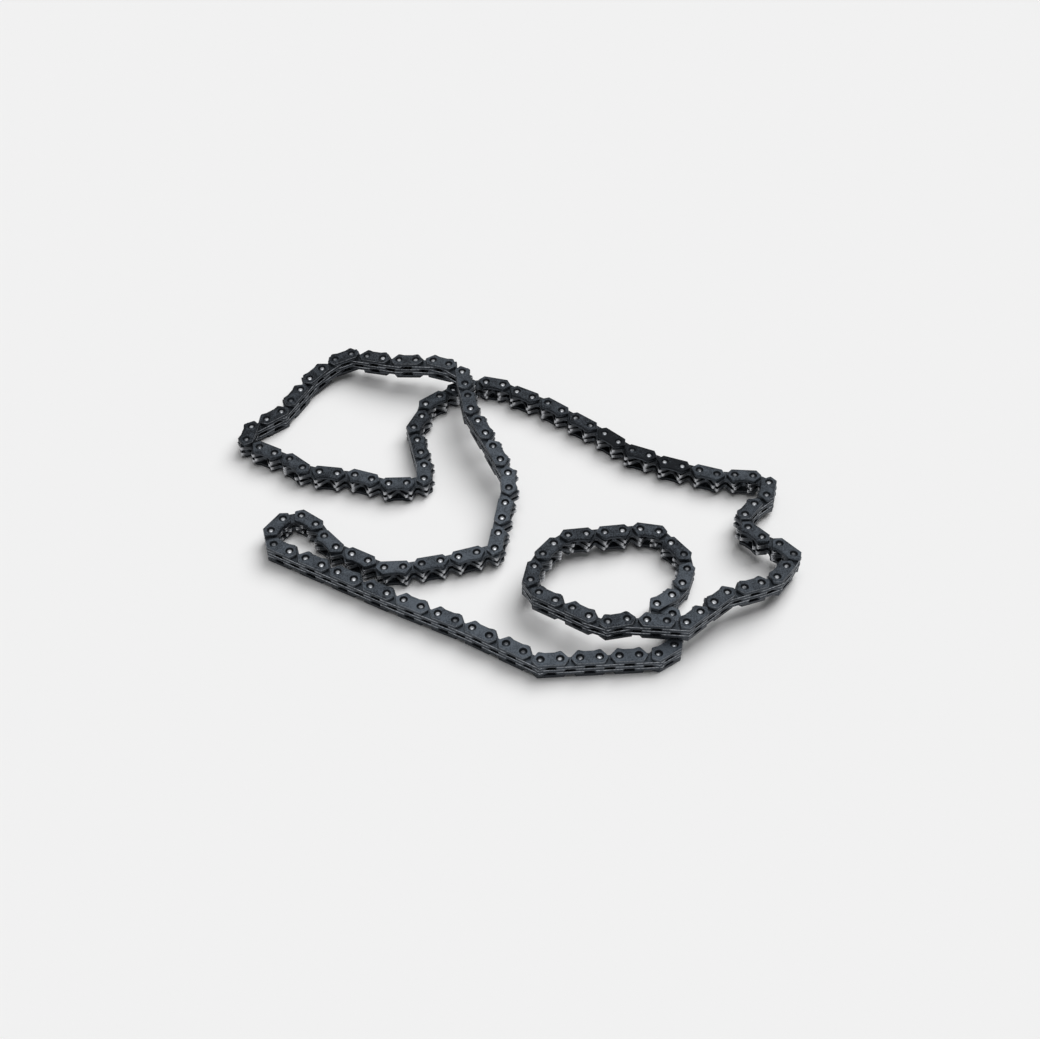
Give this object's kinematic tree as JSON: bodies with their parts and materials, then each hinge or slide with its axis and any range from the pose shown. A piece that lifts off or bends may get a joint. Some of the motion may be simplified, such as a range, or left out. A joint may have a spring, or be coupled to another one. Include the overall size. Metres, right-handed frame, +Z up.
{
  "type": "timing chain",
  "caption": "Endless silent timing chain with inverted tooth plates, guide plates on both outer faces and pressed pins, lying on its side in crossing loops.",
  "frame": {"origin": "centre of the lying chain in plan, on the surface that it rests on", "axes": "+Z up along the pins, +X along the longest way of the lying chain, +Y away from the viewer"},
  "size_m": [0.1961, 0.1447, 0.0142],
  "materials": {
    "guide_plate_steel": "dark oxide with polished edges",
    "tooth_plate_steel": "dark oxide",
    "link_plate_steel": "dark oxide",
    "pin_steel": "bright ground pin ends"
  },
  "bodies": {
    "main": {"main_guide_plates_top": "guide_plate_steel", "main_guide_plates_bottom": "guide_plate_steel", "main_middle_tooth_plates": "tooth_plate_steel", "main_link_plates_upper": "link_plate_steel", "main_link_plates_lower": "link_plate_steel", "main_pins": "pin_steel"},
    "right": {"right_guide_plates_top": "guide_plate_steel", "right_guide_plates_bottom": "guide_plate_steel", "right_middle_tooth_plates": "tooth_plate_steel", "right_link_plates_upper": "link_plate_steel", "right_link_plates_lower": "link_plate_steel", "right_pins": "pin_steel"},
    "lobe": {"lobe_guide_plates": "guide_plate_steel", "lobe_middle_tooth_plates": "tooth_plate_steel", "lobe_link_plates": "link_plate_steel", "lobe_pins": "pin_steel"},
    "tip": {"tip_guide_plates": "guide_plate_steel", "tip_middle_tooth_plates": "tooth_plate_steel", "tip_link_plates": "link_plate_steel", "tip_pins": "pin_steel"},
    "front": {"front_guide_plates": "guide_plate_steel", "front_middle_tooth_plates": "tooth_plate_steel", "front_link_plates": "link_plate_steel", "front_pins": "pin_steel"},
    "back": {"back_guide_plates": "guide_plate_steel", "back_middle_tooth_plates": "tooth_plate_steel", "back_link_plates": "link_plate_steel", "back_pins": "pin_steel"},
    "row_003": {"row_003_link_plates": "link_plate_steel"},
    "row_005": {"row_005_link_plates": "link_plate_steel"},
    "row_023": {"row_023_link_plates": "link_plate_steel"},
    "row_057": {"row_057_link_plates": "link_plate_steel"},
    "row_059": {"row_059_link_plates": "link_plate_steel"},
    "row_067": {"row_067_link_plates": "link_plate_steel"},
    "row_069": {"row_069_link_plates": "link_plate_steel"},
    "row_071": {"row_071_link_plates": "link_plate_steel"},
    "row_079": {"row_079_link_plates": "link_plate_steel"},
    "row_137": {"row_137_link_plates": "link_plate_steel"},
    "row_145": {"row_145_link_plates": "link_plate_steel"},
    "row_004": {"row_004_guide_plates": "guide_plate_steel", "row_004_middle_tooth_plate": "tooth_plate_steel", "row_004_pins": "pin_steel"},
    "row_022": {"row_022_guide_plates": "guide_plate_steel", "row_022_middle_tooth_plate": "tooth_plate_steel", "row_022_pins": "pin_steel"},
    "row_024": {"row_024_guide_plates": "guide_plate_steel", "row_024_middle_tooth_plate": "tooth_plate_steel", "row_024_pins": "pin_steel"},
    "row_058": {"row_058_guide_plates": "guide_plate_steel", "row_058_middle_tooth_plate": "tooth_plate_steel", "row_058_pins": "pin_steel"},
    "row_068": {"row_068_guide_plates": "guide_plate_steel", "row_068_middle_tooth_plate": "tooth_plate_steel", "row_068_pins": "pin_steel"}
  },
  "joints": [
    {"name": "pin_003_hinge", "type": "hinge", "parent": "main", "child": "row_003", "pos_m": [-0.02106, 0.05361, 0.00344], "axis": [0, 0, 1], "range_deg": [-15, 15]},
    {"name": "pin_004_hinge", "type": "hinge", "parent": "row_003", "child": "row_004", "pos_m": [-0.02606, 0.0497, 0.00344], "axis": [0, 0, 1], "range_deg": [-15, 15]},
    {"name": "pin_005_hinge", "type": "hinge", "parent": "row_004", "child": "row_005", "pos_m": [-0.03107, 0.04579, 0.00344], "axis": [0, 0, 1], "range_deg": [-15, 15]},
    {"name": "pin_006_hinge", "type": "hinge", "parent": "row_005", "child": "lobe", "pos_m": [-0.03228, 0.03955, 0.00344], "axis": [0, 0, 1], "range_deg": [-15, 15]},
    {"name": "pin_025_hinge", "type": "hinge", "parent": "main", "child": "row_024", "pos_m": [-0.08356, 0.04155, 0.00344], "axis": [0, 0, 1], "range_deg": [-15, 15]},
    {"name": "pin_024_hinge", "type": "hinge", "parent": "row_024", "child": "row_023", "pos_m": [-0.08856, 0.03764, 0.00344], "axis": [0, 0, 1], "range_deg": [-15, 15]},
    {"name": "pin_023_hinge", "type": "hinge", "parent": "row_023", "child": "row_022", "pos_m": [-0.09356, 0.03373, 0.00344], "axis": [0, 0, 1], "range_deg": [-15, 15]},
    {"name": "pin_057_hinge", "type": "hinge", "parent": "main", "child": "row_057", "pos_m": [-0.0424, -0.03149, 0.00344], "axis": [0, 0, 1], "range_deg": [-12, 3]},
    {"name": "pin_058_hinge", "type": "hinge", "parent": "row_057", "child": "row_058", "pos_m": [-0.04801, -0.0285, 0.00344], "axis": [0, 0, 1], "range_deg": [-12, 3]},
    {"name": "pin_059_hinge", "type": "hinge", "parent": "row_058", "child": "row_059", "pos_m": [-0.05362, -0.02552, 0.00344], "axis": [0, 0, 1], "range_deg": [-3, 12]},
    {"name": "pin_060_hinge", "type": "hinge", "parent": "row_059", "child": "tip", "pos_m": [-0.05923, -0.02254, 0.00344], "axis": [0, 0, 1], "range_deg": [-3, 12]},
    {"name": "pin_070_hinge", "type": "hinge", "parent": "main", "child": "row_069", "pos_m": [-0.05784, -0.03342, 0.00344], "axis": [0, 0, 1], "range_deg": [-12, 3]},
    {"name": "pin_069_hinge", "type": "hinge", "parent": "row_069", "child": "row_068", "pos_m": [-0.06345, -0.03044, 0.00344], "axis": [0, 0, 1], "range_deg": [-12, 3]},
    {"name": "pin_068_hinge", "type": "hinge", "parent": "row_068", "child": "row_067", "pos_m": [-0.06906, -0.02746, 0.00344], "axis": [0, 0, 1], "range_deg": [-3, 12]},
    {"name": "pin_071_hinge", "type": "hinge", "parent": "main", "child": "row_071", "pos_m": [-0.05224, -0.0364, 0.00344], "axis": [0, 0, 1], "range_deg": [-15, 8]},
    {"name": "pin_072_hinge", "type": "hinge", "parent": "row_071", "child": "front", "pos_m": [-0.04663, -0.03938, 0.00344], "axis": [0, 0, 1], "range_deg": [-8, 15]},
    {"name": "pin_079_hinge", "type": "hinge", "parent": "front", "child": "row_079", "pos_m": [-0.00709, -0.05966, 0.00344], "axis": [0, 0, 1], "range_deg": [-15, 15]},
    {"name": "pin_080_hinge", "type": "hinge", "parent": "row_079", "child": "right", "pos_m": [-0.00159, -0.06283, 0.00344], "axis": [0, 0, 1], "range_deg": [-15, 15]},
    {"name": "pin_146_hinge", "type": "hinge", "parent": "main", "child": "row_145", "pos_m": [0.00801, 0.04943, 0.00344], "axis": [0, 0, 1], "range_deg": [-15, 8]},
    {"name": "pin_145_hinge", "type": "hinge", "parent": "row_145", "child": "back", "pos_m": [0.01362, 0.04645, 0.00344], "axis": [0, 0, 1], "range_deg": [-8, 15]},
    {"name": "pin_138_hinge", "type": "hinge", "parent": "back", "child": "row_137", "pos_m": [0.04937, 0.02045, 0.00344], "axis": [0, 0, 1], "range_deg": [-15, 15]}
  ],
  "couplings": [
    {"joint": "pin_004_hinge", "follows": "pin_003_hinge", "ratio": 1},
    {"joint": "pin_005_hinge", "follows": "pin_003_hinge", "ratio": -1},
    {"joint": "pin_006_hinge", "follows": "pin_003_hinge", "ratio": -1},
    {"joint": "pin_025_hinge", "follows": "pin_003_hinge", "ratio": 1},
    {"joint": "pin_024_hinge", "follows": "pin_003_hinge", "ratio": 1},
    {"joint": "pin_023_hinge", "follows": "pin_003_hinge", "ratio": -1},
    {"joint": "pin_058_hinge", "follows": "pin_057_hinge", "ratio": 1},
    {"joint": "pin_059_hinge", "follows": "pin_057_hinge", "ratio": -1},
    {"joint": "pin_060_hinge", "follows": "pin_057_hinge", "ratio": -1},
    {"joint": "pin_070_hinge", "follows": "pin_057_hinge", "ratio": 1},
    {"joint": "pin_069_hinge", "follows": "pin_057_hinge", "ratio": 1},
    {"joint": "pin_068_hinge", "follows": "pin_057_hinge", "ratio": -1},
    {"joint": "pin_072_hinge", "follows": "pin_071_hinge", "ratio": -1},
    {"joint": "pin_080_hinge", "follows": "pin_079_hinge", "ratio": -1},
    {"joint": "pin_146_hinge", "follows": "pin_071_hinge", "ratio": 1},
    {"joint": "pin_145_hinge", "follows": "pin_071_hinge", "ratio": -1},
    {"joint": "pin_138_hinge", "follows": "pin_079_hinge", "ratio": 1}
  ]
}
